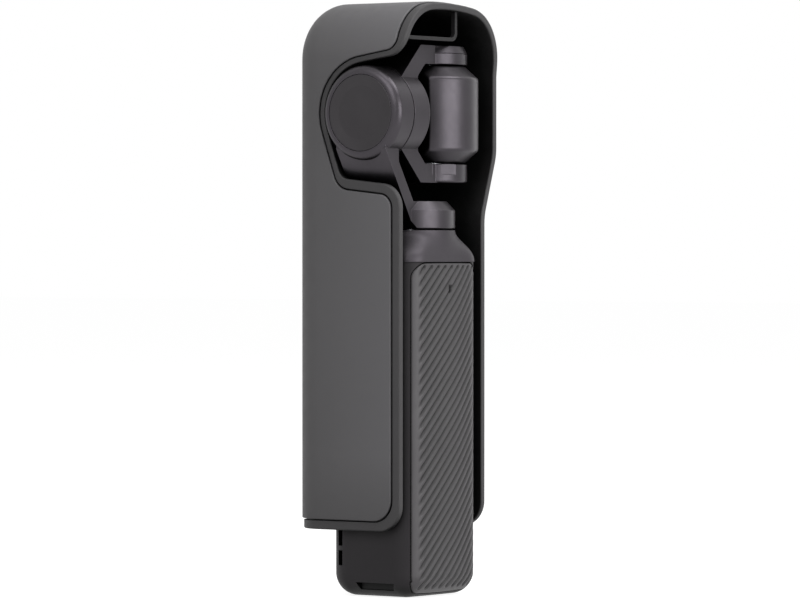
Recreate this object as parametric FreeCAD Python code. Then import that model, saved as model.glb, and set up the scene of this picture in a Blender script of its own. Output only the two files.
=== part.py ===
import FreeCAD, Part
import math
import os

from FreeCAD import Vector

# Pocket camera on a three-axis gimbal, stored in its clip-on cover.
# Frame: origin at the middle of the flat base, +Z up, the screen side faces -Y, the ribbed back faces +Y.
# All values are millimetres.

os.makedirs("parts", exist_ok=True)

# handle
handle_width = 31.0
handle_front = -13.3
handle_back_side = 12.8
handle_back_middle = 13.5
handle_height = 84.5
corner_radius = 6.0
base_radius = 5.8
floor_height = 4.8
side_wall = 1.6
cavity_depth = 10.3
cavity_corner = 1.0
window_half_width = handle_width / 2 - 4.0
window_low = 6.5
window_high = handle_height - 4.5
seam_depth = 11.45
seam = 0.25
plate_half_width = handle_width / 2 - 1.72
plate_low = 0.45
plate_corner = 4.6
plate_foot_corner = 5.0
plate_foot_depth = 10.5
plate_foot_rise = 4.3

# diagonal ribs of the back
rib_pitch = 2.75
rib_groove_depth = 0.45
rib_groove_width = 1.5
rib_top_margin = 0.8

# neck and pan axis
pan_y = 0.9
neck_height = 8.0
neck_top = handle_height + neck_height
neck_radius = 12.0
neck_fit = 0.05
neck_wall = 1.6
neck_cavity_radius = 9.6
split = 0.3

# running fit shared by the three gimbal motors
shaft_radius = 1.5
running = 0.05
bearing_outer = 3.2
post_inner = 3.25
post_outer = 4.2
bell_wall = 0.75

# pan hub and arm
hub_wall_height = 4.75
hub_chamfer = 2.3
hub_bottom = neck_top + split
hub_top = hub_bottom + hub_wall_height + hub_chamfer
arm_half_width = 7.7
arm_outer_foot = 8.0
arm_outer_head = 20.1
arm_inner_foot = 8.3
arm_inner_head = 14.5
arm_bend = 9.1

# roll axis
roll_rise = 22.15
roll_z = hub_top + roll_rise
roll_radius = 11.9
roll_split_x = 13.5
roll_face_x = 20.5
roll_face_radius = 9.7
roll_round = 2.0
roll_cavity_radius = 10.6
roll_cap_depth = 1.5
roll_dish = 0.3
roll_dish_radius = 6.8

# yoke
yoke_inner_x = 6.3
yoke_half_height = 17.4
yoke_arm_height = 4.75
yoke_top = roll_z + yoke_half_height
yoke_bottom = roll_z - yoke_half_height
tilt_x = -8.2
tilt_cap_radius = 10.3
tilt_lid_height = 2.0
tilt_lid_taper = 0.85
tilt_pad_chamfer = 0.6
tilt_pad_fillet = 0.4
facet_angle = 69.5
facet_half_angle = 12.5
facet_height = 2.7

# camera head
head_radius = 13.2
head_half_height = yoke_half_height - yoke_arm_height - split
head_shoulder = 3.2
head_shoulder_in = 3.5
head_shoulder_round = 1.3
head_rim_round = 0.5
head_edge_round = 0.9
head_flat_x = 2.1
head_front_y = -10.3
head_wall = 1.2
head_seam_y = -4.0
lens_radius = head_half_height - 6.75
lens_ring_radius = lens_radius + 1.2

# screen
screen_half_width = handle_width / 2 - 1.6
screen_half_height = 23.8
screen_corner = 3.2
screen_z = handle_height - screen_half_height - 3.2
screen_back = -13.6
screen_front = -17.4
glass_thickness = 0.75
screen_border = 1.1
pivot_radius = 6.0
pivot_inner = 4.2
pivot_flange = 7.6

# controls
control_z = 21.0
control_x = 0.2 * handle_width
stick_pivot_y = -10.2
stick_cap_radius = 4.3
trunnion_radius = 0.6
stem_pin_radius = 0.45
button_radius = control_x - 1.95
button_travel = 0.5

# inner parts
board_front = -7.7
board_thickness = 1.0
cell_half_width = handle_width / 2 - 4.8
cell_depth = 6.75
cell_front = -3.55
cell_low = 10.8
cell_high = handle_height - 21.7
card_z = 39.5
card_width = 11.0
card_length = 15.0
card_y = -5.5
card_thickness = 1.0
port_y = 3.4

# cover
cover_x = handle_width / 2 + 3.0
cover_far_x = -handle_width / 2 - 4.2
cover_bulge_x = tilt_x - head_radius - 3.6
cover_bend_high = roll_z - 10.2
cover_bend_low = cover_bend_high - 15.6
cover_bend_round = 12.0
cover_front = -23.3
cover_headroom = 11.0
cover_top_mid = yoke_top + cover_headroom
cover_top_near = cover_top_mid - 2.0
cover_top_far = cover_top_mid - 3.4
cover_crown_x = 1.0
cover_corner = 14.5
cover_front_round = 9.0
shell_thickness = 1.1
cover_gap = 0.3
liner_inner = 2.1
rim_drop = 0.45
groove = 0.4
shell_rim_y = 8.8
shell_rim_top_y = 10.0
far_rim_rise = 10.0
shell_bottom = 19.4
rim_step = 2.6
shell_rim_round = 0.3
liner_rim_round = 0.4

# side notch of the cover, round the roll motor
notch_radius = 14.5
notch_lean = 19.0
notch_top_rise = 9.0
notch_floor_drop = 20.9
notch_floor_slope = 0.107
notch_rim_round = 3.6
notch_heel_round = 5.0
notch_crown_round = 3.0
foot_round = 5.5


def block(x, y, z):
    return Part.makeBox(x[1] - x[0], y[1] - y[0], z[1] - z[0], Vector(x[0], y[0], z[0]))


def place(plane, u, v, depth=0.0):
    if plane == "XY":
        return Vector(u, v, depth)
    if plane == "XZ":
        return Vector(u, depth, v)
    return Vector(depth, u, v)


def normal(plane):
    return {"XY": Vector(0, 0, 1), "XZ": Vector(0, 1, 0), "YZ": Vector(1, 0, 0)}[plane]


def rod(plane, centre, radius, span):
    base = place(plane, centre[0], centre[1], span[0])
    return Part.makeCylinder(radius, span[1] - span[0], base, normal(plane))


def tube(plane, centre, outer, inner, span):
    return rod(plane, centre, outer, span).cut(rod(plane, centre, inner, span))


def turned(plane, centre, outline, radii=0):
    # outline is radius against position along the axis
    points = [Vector(radius, 0, along) for radius, along in outline]
    if not isinstance(radii, (list, tuple)):
        radii = [radii] * len(points)
    face = Part.Face(loop(points, radii))
    solid = face.revolve(Vector(0, 0, 0), Vector(0, 0, 1), 360)
    solid.Placement = FreeCAD.Placement(
        place(plane, centre[0], centre[1]),
        FreeCAD.Rotation(Vector(0, 0, 1), normal(plane)),
    )
    return solid


def loop(points, radii):
    ends = []
    for i, (corner, radius) in enumerate(zip(points, radii)):
        before = points[i - 1] - corner
        after = points[(i + 1) % len(points)] - corner
        before.normalize()
        after.normalize()
        if radius == 0:
            ends.append((corner, None, corner))
            continue
        half = math.acos(before.dot(after)) / 2
        reach = radius / math.tan(half)
        middle = before + after
        middle.normalize()
        near = corner + middle * (radius / math.sin(half) - radius)
        ends.append((corner + before * reach, near, corner + after * reach))
    edges = []
    for i, (start, near, end) in enumerate(ends):
        if near is not None:
            edges.append(Part.Arc(start, near, end).toShape())
        following = ends[(i + 1) % len(ends)][0]
        if (following - end).Length > 1e-6:
            edges.append(Part.LineSegment(end, following).toShape())
    return Part.Wire(edges)


def prism(plane, points, radii, span):
    corners = [place(plane, u, v, span[0]) for u, v in points]
    if not isinstance(radii, (list, tuple)):
        radii = [radii] * len(points)
    return Part.Face(loop(corners, radii)).extrude(normal(plane) * (span[1] - span[0]))


def slab(plane, u, v, radius, span):
    points = [(u[0], v[0]), (u[1], v[0]), (u[1], v[1]), (u[0], v[1])]
    return prism(plane, points, radius, span)


def joined(first, *others):
    return first.fuse(list(others)).removeSplitter()


def mirrored(shape):
    return shape.mirror(Vector(0, 0, 0), Vector(1, 0, 0))


def group(shapes):
    return Part.makeCompound(shapes)


def save(name, shape):
    shape.exportStep("parts/" + name + ".step")


# handle
def handle_form():
    half = handle_width / 2
    front_left = Vector(-half, handle_front, 0)
    front_right = Vector(half, handle_front, 0)
    back_right = Vector(half, handle_back_side, 0)
    back_left = Vector(-half, handle_back_side, 0)
    back = Part.Arc(back_right, Vector(0, handle_back_middle, 0), back_left)
    outline = Part.Wire([
        Part.LineSegment(front_left, front_right).toShape(),
        Part.LineSegment(front_right, back_right).toShape(),
        back.toShape(),
        Part.LineSegment(back_left, front_left).toShape(),
    ])
    solid = Part.Face(outline).extrude(Vector(0, 0, handle_height))
    upright = [e for e in solid.Edges if e.BoundBox.ZLength > handle_height - 1]
    solid = solid.makeFillet(corner_radius, upright)
    foot = [e for e in solid.Edges if e.BoundBox.ZMax < 1e-6]
    return solid.makeFillet(base_radius, foot)


def rear_pocket(inset):
    half = plate_half_width - inset
    top = handle_height - inset
    mouth = handle_back_middle + 1
    points = [(-half, plate_low + inset), (half, plate_low + inset), (half, top), (-half, top)]
    foot_round = plate_foot_corner - inset
    radii = [foot_round, foot_round, plate_corner - inset, plate_corner - inset]
    body = prism("XZ", points, radii, (seam_depth + inset, mouth))
    deep = prism("XZ", points, radii, (plate_foot_depth + inset, mouth))
    foot = deep.common(block((-half, half), (0, mouth), (0, plate_foot_rise - inset)))
    return joined(body, foot)


def front_pocket(inset):
    half = handle_width / 2
    heights = (plate_low + inset, handle_height - inset)
    return block((-half, half), (handle_front - 1, -seam_depth - inset), heights)


def handle_cavity():
    half = handle_width / 2 - side_wall
    heights = (floor_height, handle_height + 1)
    room = slab("XY", (-half, half), (-cavity_depth, cavity_depth), cavity_corner, heights)
    windows = block(
        (-window_half_width, window_half_width),
        (-seam_depth - 1, seam_depth + 1),
        (window_low, window_high),
    )
    return joined(room, windows)


latch_low = 1.8
latch_high = 3.6
latch_floor_x = handle_width / 2 - 2.3
latch_back = 7.5
latch_front = -4.4
latch_slant = 0.8


def latch_slot():
    points = [
        (latch_front + latch_slant, latch_low),
        (latch_back - latch_slant, latch_low),
        (latch_back, latch_high),
        (latch_front, latch_high),
    ]
    return prism("YZ", points, 0, (latch_floor_x, handle_width / 2 + 1))


strap_y = (-10.0, -8.4)
strap_low = 7.7
strap_bar_low = 11.5
strap_bar_high = 12.7
strap_high = 16.7
strap_floor_x = handle_width / 2 - 3.1
strap_bar_back_x = strap_floor_x + 1.3
strap_wall = 1.2


def strap_boss():
    half = handle_width / 2 - side_wall
    depth = (-cavity_depth - 0.5, strap_y[1] + strap_wall)
    heights = (floor_height - 0.5, strap_high + strap_wall)
    return block((strap_floor_x - strap_wall, half + 0.5), depth, heights)


def strap_slots():
    outside = handle_width / 2 + 1
    lower = block((strap_floor_x, outside), strap_y, (strap_low, strap_bar_low))
    upper = block((strap_floor_x, outside), strap_y, (strap_bar_high, strap_high))
    behind = block((strap_floor_x, strap_bar_back_x), strap_y, (strap_low, strap_high))
    return joined(lower, upper, behind)


screw_x = handle_width / 2 - 2.85
screw_heights = (24.5, handle_height - 6.5)
screw_shank = 0.8
screw_reach = 1.2
screw_head_radius = 1.15
screw_head_depth = 0.8


def screw_places():
    return [(side * screw_x, height) for side in (-1, 1) for height in screw_heights]


def screw_holes():
    span = (-seam_depth - seam - screw_reach - 0.1, -cavity_depth + 0.5)
    head_span = (-cavity_depth, -cavity_depth + screw_head_depth + 0.5)
    shanks = [rod("XZ", spot, screw_shank + running, span) for spot in screw_places()]
    heads = [rod("XZ", spot, screw_head_radius + 0.1, head_span) for spot in screw_places()]
    return shanks + heads


card_clearance = 0.15


def card_channel(x):
    reach = card_width / 2 + card_clearance
    thick = card_thickness / 2 + card_clearance
    return block(x, (card_y - thick, card_y + thick), (card_z - reach, card_z + reach))


port_half_width = 4.47
port_half_depth = 1.63
port_round = 1.5
port_fit = 0.1


def port_outline(extra, span):
    half = port_half_width + extra
    depth = port_half_depth + extra
    return slab("XY", (-half, half), (port_y - depth, port_y + depth), port_round + extra, span)


def chassis():
    body = handle_form().cut(handle_cavity())
    body = body.fuse(strap_boss().common(handle_form()))
    latches = latch_slot()
    cutters = [
        rear_pocket(0),
        front_pocket(0),
        latches,
        mirrored(latches),
        strap_slots(),
        card_channel((-handle_width / 2 - 1, -cavity_depth + 0.3)),
        port_outline(port_fit, (-1, floor_height + 1)),
    ]
    return body.cut(cutters + screw_holes())


mic_x = -1.0
mic_z = handle_height - 6.9
mic_hole = 0.3
mic_slot_width = 0.9
mic_slot_height = 1.6


def rib_grooves():
    # straight V grooves at 45 degrees, which run out where the back curves away
    bottom = handle_back_middle - rib_groove_depth
    mouth = bottom + 2 * rib_groove_depth
    reach = handle_width
    section = Part.makePolygon([
        Vector(-reach, bottom, 0),
        Vector(-reach, mouth, rib_groove_width),
        Vector(-reach, mouth, -rib_groove_width),
        Vector(-reach, bottom, 0),
    ])
    bar = Part.Face(section).extrude(Vector(2 * reach, 0, 0))
    bar.rotate(Vector(0, 0, 0), Vector(0, 1, 0), 45)
    field = block((-reach, reach), (seam_depth, mouth + 1), (plate_low, handle_height - rib_top_margin))
    count = int((handle_height + handle_width) / rib_pitch)
    grooves = []
    for i in range(count):
        groove_bar = bar.copy()
        groove_bar.translate(Vector(0, 0, (i + 0.5) * rib_pitch - handle_width / 2))
        grooves.append(groove_bar.common(field))
    return grooves


def grip_plate():
    plate = handle_form().common(rear_pocket(seam))
    slot = block(
        (mic_x - mic_slot_width / 2, mic_x + mic_slot_width / 2),
        (seam_depth - 1, handle_back_middle + 1),
        (mic_z - mic_slot_height / 2, mic_z + mic_slot_height / 2),
    )
    return plate.cut([slot] + rib_grooves())


led_z = 12.4
led_radius = 0.8
front_mic_z = 9.4
stick_hole = 3.2
button_hole = button_radius + 0.3


def front_panel():
    panel = handle_form().common(front_pocket(seam))
    through = (handle_front - 1, -seam_depth + 1)
    cutters = [
        rod("XZ", (0, screen_z), pivot_radius + 0.35, through),
        rod("XZ", (-control_x, control_z), stick_hole, through),
        rod("XZ", (control_x, control_z), button_hole, through),
        rod("XZ", (0, led_z), led_radius + running, through),
        rod("XZ", (0, front_mic_z), mic_hole, through),
    ]
    return panel.cut(cutters + screw_holes())


def handle_edge(angle):
    # distance from the axis to the handle's outline along one direction
    way = (math.cos(angle), math.sin(angle))
    centre_y = (handle_front + handle_back_middle) / 2
    half_depth = (handle_back_middle - handle_front) / 2
    low = 0.0
    high = 2 * handle_width
    for step in range(40):
        reach = (low + high) / 2
        across = max(abs(way[0] * reach) - handle_width / 2 + corner_radius, 0)
        along = max(abs(way[1] * reach - centre_y) - half_depth + corner_radius, 0)
        if math.hypot(across, along) < corner_radius:
            low = reach
        else:
            high = reach
    return low


neck_points = 72
neck_levels = 9
neck_ease = 1.25


def neck_section(rise):
    # rise goes from 0 at the handle to 1 at the round top
    base = handle_height + neck_fit
    height = base + (neck_top - base) * rise
    eased = rise ** neck_ease
    share = eased * eased * (3 - 2 * eased)
    spots = []
    for i in range(neck_points):
        angle = 2 * math.pi * i / neck_points
        reach = handle_edge(angle)
        x = (1 - share) * reach * math.cos(angle) + share * neck_radius * math.cos(angle)
        y = (1 - share) * reach * math.sin(angle) + share * (pan_y + neck_radius * math.sin(angle))
        spots.append(Vector(x, y, height))
    curve = Part.BSplineCurve()
    curve.interpolate(Points=spots, PeriodicFlag=True)
    return Part.Wire(curve.toShape())


def neck_collar():
    base = handle_height + neck_fit
    sections = [neck_section(i / (neck_levels - 1)) for i in range(neck_levels)]
    solid = Part.makeLoft(sections, True, False)
    room = rod("XY", (0, pan_y), neck_cavity_radius, (base - 1, neck_top - neck_wall))
    hole = rod("XY", (0, pan_y), post_outer + 0.3, (base, neck_top + 1))
    return solid.cut([room, hole])


def screws():
    head_y = -cavity_depth + 0.05
    pieces = []
    for spot in screw_places():
        head = rod("XZ", spot, screw_head_radius, (head_y, head_y + screw_head_depth))
        shank = rod("XZ", spot, screw_shank, (-seam_depth - seam - screw_reach, head_y + 0.1))
        pieces.append(joined(head, shank))
    return group(pieces)


def latch_plates():
    inset = 0.1
    plate = block(
        (latch_floor_x + 0.05, latch_floor_x + 0.4),
        (latch_front + latch_slant + inset, latch_back - latch_slant - inset),
        (latch_low + inset, latch_high - inset),
    )
    return group([plate, mirrored(plate)])


def usb_port():
    wall = 0.35
    length = (0.3, 7.6)
    can = port_outline(0, length).cut(port_outline(-wall, (length[0] - 1, length[1] - 0.8)))
    tongue = block((-3.3, 3.3), (port_y - 0.35, port_y + 0.35), (1.2, length[1] - 0.5))
    return joined(can, tongue)


def port_board():
    half = handle_width / 2 - side_wall - 0.3
    return block((-half, half), (-2.0, 8.5), (7.7, 8.7))


tray_wall = 0.6
tray_gap = 0.25
cell_corner = 1.2


def battery_cells():
    across = (-cell_half_width, cell_half_width)
    cells = []
    for i in range(2):
        start = cell_front + i * (cell_depth + tray_gap)
        cells.append(slab("XY", across, (start, start + cell_depth), cell_corner, (cell_low, cell_high)))
    return group(cells)


def battery_tray():
    half = cell_half_width + tray_gap + tray_wall
    low = cell_low - tray_gap - tray_wall
    high = cell_high + tray_gap + tray_wall
    front = cell_front - tray_gap - tray_wall
    back = cavity_depth - 0.1
    shell = block((-half, half), (front, back), (low, high))
    inside = half - tray_wall
    room = block((-inside, inside), (front + tray_wall, back + 1), (low + tray_wall, high - tray_wall))
    ear = handle_width / 2 - side_wall - 0.3
    ears = block((-ear, ear), (4.0, 4.9), (low + 16, high - 2))
    return joined(shell, ears).cut(room)


board_low = 12.0
board_waist = 28.5
board_tail = 10.8


board_half = handle_width / 2 - side_wall - 0.3


def main_board():
    half = board_half
    depth = (board_front, board_front + board_thickness)
    board = block((-half, half), depth, (board_waist, window_high))
    tail = block((-board_tail, board_tail), depth, (board_low, board_waist + 0.5))
    return joined(board, tail)


def board_chips():
    tall = (board_front - 1.2, board_front - 0.05)
    low = (tall[0] + 0.3, tall[1])
    chips = [
        block((-9.0, 4.0), tall, (board_waist + 2.5, board_waist + 15.5)),
        block((5.5, board_half - 1.6), tall, (board_waist + 3.5, board_waist + 14.5)),
        block((-9.0, -2.0), low, (window_high - 12.0, window_high - 5.0)),
        block((2.0, 9.0), low, (window_high - 13.0, window_high - 3.0)),
    ]
    return group(chips)


def heat_spreader():
    front = board_front - 1.25
    half = handle_width / 2 - side_wall - 1.4
    top = screen_z - pivot_flange - 1.4
    return block((-half, half), (front - 0.6, front), (board_waist + 1.5, top))


def speaker():
    top = cell_high + tray_gap + tray_wall
    half = cell_half_width - 0.7
    body = block((-half, half), (3.4, 10.2), (top + 0.1, top + 7.6))
    return body.cut(block((2.5 - half, half - 2.5), (9.7, 10.5), (top + 1.2, top + 6.6)))


def microphones():
    half_x = 1.6
    half_z = 1.3
    back_face = seam_depth + seam - 0.1
    front_face = -back_face
    back_heights = (mic_z - half_z, mic_z + half_z)
    front_heights = (front_mic_z - half_z, front_mic_z + half_z)
    back = block((mic_x - half_x, mic_x + half_x), (back_face - 1.0, back_face), back_heights)
    front = block((-half_x, half_x), (front_face, front_face + 1.0), front_heights)
    return group([back, front])


def status_led():
    lens = rod("XZ", (0, led_z), led_radius, (handle_front, -seam_depth))
    body = block((-1.2, 1.2), (-seam_depth - seam + 0.1, -seam_depth + 1.0), (led_z - 1.0, led_z + 1.0))
    return joined(lens, body)


def card_socket():
    wall = 0.4
    reach = card_width / 2 + card_clearance + wall
    start = -handle_width / 2 + side_wall + wall
    end = card_length - handle_width / 2 + 1.8
    depth = (board_front + board_thickness + 0.05, card_y + 1.0)
    shell = block((start, end), depth, (card_z - reach, card_z + reach))
    return shell.cut(card_channel((start - 0.5, end - wall)))


def memory_card():
    start = -handle_width / 2 + 0.3
    half = card_width / 2
    thick = card_thickness / 2
    outline = [
        (start, card_z - half),
        (start + card_length, card_z - half),
        (start + card_length, card_z + half - 1.5),
        (start + card_length - 1.5, card_z + half),
        (start, card_z + half),
    ]
    return prism("XZ", outline, 0, (card_y - thick, card_y + thick))


# screen
bearing_depth = (-seam_depth - seam + 0.1, -10.0)


def screen_bearing():
    return tube("XZ", (0, screen_z), pivot_flange + 0.4, pivot_radius + running, bearing_depth)


def screen_outline(inset, span):
    across = (-screen_half_width + inset, screen_half_width - inset)
    up = (screen_z - screen_half_height + inset, screen_z + screen_half_height - inset)
    return slab("XZ", across, up, max(screen_corner - inset, 1.0), span)


def screen_frame():
    front = screen_front + glass_thickness + 0.05
    tray = screen_outline(0, (front, screen_back))
    room = screen_outline(screen_border, (front - 1, screen_back - 0.9))
    cable = rod("XZ", (0, screen_z), pivot_inner, (screen_back - 2, screen_back + 1))
    return tray.cut([room, cable])


def screen_panel():
    front = screen_front + glass_thickness + 0.1
    return screen_outline(screen_border + 0.15, (front, screen_back - 1.0))


def screen_glass():
    return screen_outline(0.1, (screen_front, screen_front + glass_thickness))


def screen_pivot():
    inner_end = bearing_depth[1] + 0.1
    sleeve = tube("XZ", (0, screen_z), pivot_radius, pivot_inner, (screen_back + 0.05, inner_end + 0.3))
    flange = tube("XZ", (0, screen_z), pivot_flange, pivot_inner, (inner_end, inner_end + 0.8))
    return joined(sleeve, flange)


# joystick and record button
stick_centre = (-control_x, control_z)


stick_box = control_x - 1.4
stick_box_wall = 0.7
stick_pin_reach = stick_box - 0.2
stick_cradle_x = stick_box - 1.2
stick_cradle_z = stick_box - 1.6
stick_cradle_opening = stick_box - 2.6


def stick_base():
    outer = stick_box
    inner = stick_box - stick_box_wall
    x, z = stick_centre
    span = (-seam_depth - seam + 0.1, board_front - 0.2)
    shell = block((x - outer, x + outer), span, (z - outer, z + outer))
    room = block((x - inner, x + inner), (span[0] - 1, span[1] - 0.4), (z - inner, z + inner))
    bores = rod("YZ", (stick_pivot_y, z), trunnion_radius + running, (x - outer - 1, x + outer + 1))
    return shell.cut([room, bores])


def stick_cradle():
    x, z = stick_centre
    half_x = stick_cradle_x
    half_z = stick_cradle_z
    thick = 0.65
    opening = stick_cradle_opening
    depth = (stick_pivot_y - thick, stick_pivot_y + thick)
    ring = block((x - half_x, x + half_x), depth, (z - half_z, z + half_z))
    room = (depth[0] - 1, depth[1] + 1)
    ring = ring.cut(block((x - opening, x + opening), room, (z - opening, z + opening)))
    ring = ring.cut(rod("XY", (x, stick_pivot_y), stem_pin_radius + running, (z - 5, z + 5)))
    pins = [
        rod("YZ", (stick_pivot_y, z), trunnion_radius, (x - stick_pin_reach, x - half_x + 0.5)),
        rod("YZ", (stick_pivot_y, z), trunnion_radius, (x + half_x - 0.5, x + stick_pin_reach)),
    ]
    return joined(ring, *pins)


def stick_stem():
    x, z = stick_centre
    lower = rod("XZ", stick_centre, 1.2, (stick_pivot_y - 1.4, stick_pivot_y + 1.2))
    upper = rod("XZ", stick_centre, 1.6, (-14.5, stick_pivot_y - 1.3))
    half = stick_cradle_z - 0.1
    pin = rod("XY", (x, stick_pivot_y), stem_pin_radius, (z - half, z + half))
    return joined(lower, upper, pin)


def stick_cap():
    radius = stick_cap_radius
    base = -14.4
    outline = [
        (0, 0),
        (radius - 0.3, 0),
        (radius, 0.3),
        (radius, 0.9),
        (radius - 0.8, 1.6),
        (1.8, 1.35),
        (0, 1.35),
    ]
    cap = turned("XZ", stick_centre, [(r, base - along) for r, along in reversed(outline)])
    return cap.cut(rod("XZ", stick_centre, 1.6 + running, (-14.55, base + 1)))


button_centre = (control_x, control_z)


button_flange = 0.65


def record_button():
    return turned("XZ", button_centre, [
        (0, -14.25),
        (button_radius - 0.5, -14.25),
        (button_radius, -13.85),
        (button_radius, -11.2),
        (button_radius + button_flange, -11.2),
        (button_radius + button_flange, -10.6),
        (shaft_radius, -10.6),
        (shaft_radius, -8.9),
        (0, -8.9),
    ])


def record_switch():
    x, z = button_centre
    body = block((x - 3.0, x + 3.0), (-9.8, board_front - 0.2), (z - 3.0, z + 3.0))
    return body.cut(rod("XZ", button_centre, shaft_radius + running, (-10.5, -8.9 + button_travel + 0.1)))


def record_ring():
    return tube("XZ", button_centre, button_hole + 0.9, button_hole, (handle_front - 0.3, handle_front))


# gimbal motors
def stator(plane, centre, outer, span):
    core = tube(plane, centre, post_outer + 1.3, post_outer + running, span)
    teeth = []
    count = 9
    for i in range(count):
        angle = 360.0 * i / count
        tooth = block((post_outer + 1.0, outer - 0.5), (-0.9, 0.9), span)
        tip = tube("XY", (0, 0), outer, outer - 0.8, span)
        tip = tip.common(block((0, outer + 1), (-2.3, 2.3), span))
        piece = tooth.fuse(tip)
        piece.rotate(Vector(0, 0, 0), Vector(0, 0, 1), angle)
        teeth.append(piece)
    wound = teeth[0].fuse(teeth[1:])
    wound.Placement = FreeCAD.Placement(
        place(plane, centre[0], centre[1]),
        FreeCAD.Rotation(Vector(0, 0, 1), normal(plane)),
    )
    return joined(core, wound)


def bearings(plane, centre, starts, length=1.4):
    bore = shaft_radius + running
    return group([tube(plane, centre, bearing_outer, bore, (start, start + length)) for start in starts])


def bell(plane, centre, outer, disc_span, ring_span, shaft_span):
    ring = tube(plane, centre, outer, outer - bell_wall, ring_span)
    disc = rod(plane, centre, outer, disc_span)
    shaft = rod(plane, centre, shaft_radius, shaft_span)
    return joined(ring, disc, shaft)


pan = (0, pan_y)
pan_bell_low = handle_height + 0.4
pan_bell_radius = 9.2
pan_stator_low = pan_bell_low + 1.5
pan_stator_high = pan_bell_low + 5.0
pan_flange = 7.0


def pan_post():
    sleeve = tube("XY", pan, post_outer, post_inner, (pan_stator_low - 0.2, neck_top - 0.2))
    flange = tube("XY", pan, pan_flange, post_inner, (pan_stator_high + 0.3, neck_top - neck_wall - 0.1))
    return joined(sleeve, flange)


def pan_rotor():
    disc = (pan_bell_low, pan_bell_low + 0.8)
    return bell("XY", pan, pan_bell_radius, disc, (disc[0], pan_stator_high), (disc[0], hub_bottom + 3.0))


def pan_arm():
    hub = turned("XY", pan, [
        (0, hub_bottom),
        (neck_radius - 0.35, hub_bottom),
        (neck_radius, hub_bottom + 0.35),
        (neck_radius, hub_bottom + hub_wall_height),
        (neck_radius - hub_chamfer * 0.9, hub_top),
        (0, hub_top),
    ])
    head_z = roll_z - arm_bend
    beyond = 40.0
    outside = prism("XZ", [
        (arm_outer_foot, hub_bottom),
        (arm_outer_foot - 3.0, hub_bottom - 5),
        (beyond, hub_bottom - 5),
        (beyond, head_z),
        (arm_outer_head, head_z),
    ], 0, (-beyond, beyond))
    hub = hub.cut(outside)
    profile = [
        (arm_outer_foot, hub_bottom),
        (arm_outer_head, head_z),
        (arm_outer_head, roll_z),
        (arm_inner_head, roll_z),
        (arm_inner_head, roll_z - roll_radius - split),
        (arm_inner_foot, hub_top),
        (0, hub_top - 0.5),
        (0, hub_bottom),
    ]
    y = (pan_y - arm_half_width, pan_y + arm_half_width)
    arm = prism("XZ", profile, 0, y)
    start = roll_split_x + split / 2
    housing = turned("YZ", roll, [
        (0, start),
        (roll_radius, start),
        (roll_radius, roll_face_x),
        (0, roll_face_x),
    ], [0, 0.15, roll_round, 0])
    body = joined(hub, arm, housing)
    cutters = [
        rod("YZ", roll, roll_cavity_radius, (start - 5, roll_end_wall - 0.9)),
        rod("YZ", roll, roll_face_radius + running, (roll_end_wall, roll_face_x + 1)),
        rod("YZ", roll, post_outer + running, (roll_end_wall - 2, roll_end_wall + 1)),
        rod("XY", pan, shaft_radius + running, (hub_bottom - 1, hub_bottom + 3.1)),
    ]
    return body.cut(cutters)


roll = (pan_y, roll_z)
roll_end_wall = roll_face_x - roll_cap_depth


def roll_cap():
    start = roll_end_wall + 0.05
    return turned("YZ", roll, [
        (0, start),
        (roll_face_radius, start),
        (roll_face_radius, roll_face_x - 0.15),
        (roll_face_radius - 0.15, roll_face_x),
        (roll_face_radius - 0.5, roll_face_x),
        (roll_dish_radius, roll_face_x - roll_dish),
        (0, roll_face_x - roll_dish),
    ])


def roll_post():
    return tube("YZ", roll, post_outer, post_inner, (roll_split_x + 1.5, roll_end_wall - 0.05))


def roll_stator():
    return stator("YZ", roll, roll_cavity_radius - 1.5, (roll_split_x + 1.6, roll_end_wall - 1.0))


yoke_face = roll_split_x - split / 2


def roll_rotor():
    disc = (roll_split_x + 0.35, roll_split_x + 1.15)
    shaft = (yoke_face - 3.0, roll_end_wall - 0.3)
    return bell("YZ", roll, roll_cavity_radius - 0.4, disc, (disc[0], roll_end_wall - 1.3), shaft)


cap_disc_radius = 7.6
cap_disc_depth = 1.0


def yoke_half(sign):
    def point(x, rise):
        return (x, roll_z + sign * rise)

    outer_turn = yoke_face - (yoke_half_height - arm_bend)
    inner_height = yoke_half_height - yoke_arm_height
    inner_start = arm_bend + 0.4
    profile = [
        point(yoke_face, 0),
        point(yoke_face, arm_bend),
        point(outer_turn, yoke_half_height),
        point(tilt_x, yoke_half_height),
        point(tilt_x, inner_height),
        point(yoke_inner_x - (inner_height - inner_start), inner_height),
        point(yoke_inner_x, inner_start),
        point(yoke_inner_x, 0),
    ]
    y = (pan_y - arm_half_width, pan_y + arm_half_width)
    arm = prism("XZ", profile, [0, 0, 0.8, 0, 0, 1.2, 1.2, 0], y)
    pad = turned("XY", tilt, [
        (0, roll_z + sign * inner_height),
        (tilt_cap_radius, roll_z + sign * inner_height),
        (tilt_cap_radius, roll_z + sign * yoke_half_height),
        (0, roll_z + sign * yoke_half_height),
    ], [0, 0.2, tilt_pad_chamfer, 0])
    half = arm.fuse(pad)

    def beside_pad(edge):
        box = edge.BoundBox
        upright = box.XLength < 1e-3 and box.YLength < 1e-3
        on_side = min(abs(box.YMin - side) for side in y) < 1e-3
        return upright and on_side and tilt_x < box.XMin < yoke_inner_x - 1

    return half.makeFillet(tilt_pad_fillet, [e for e in half.Edges if beside_pad(e)])


def pad_facet():
    # a small flat on the lower pad's round side
    depth = tilt_cap_radius * math.cos(math.radians(facet_half_angle))
    low = yoke_bottom + yoke_arm_height - facet_height
    half = tilt_cap_radius / 2
    facet = block((depth, tilt_cap_radius + 1), (-half, half), (low, low + yoke_arm_height))
    facet.rotate(Vector(0, 0, 0), Vector(0, 0, 1), facet_angle)
    facet.translate(Vector(tilt_x, pan_y, 0))
    return facet


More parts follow.
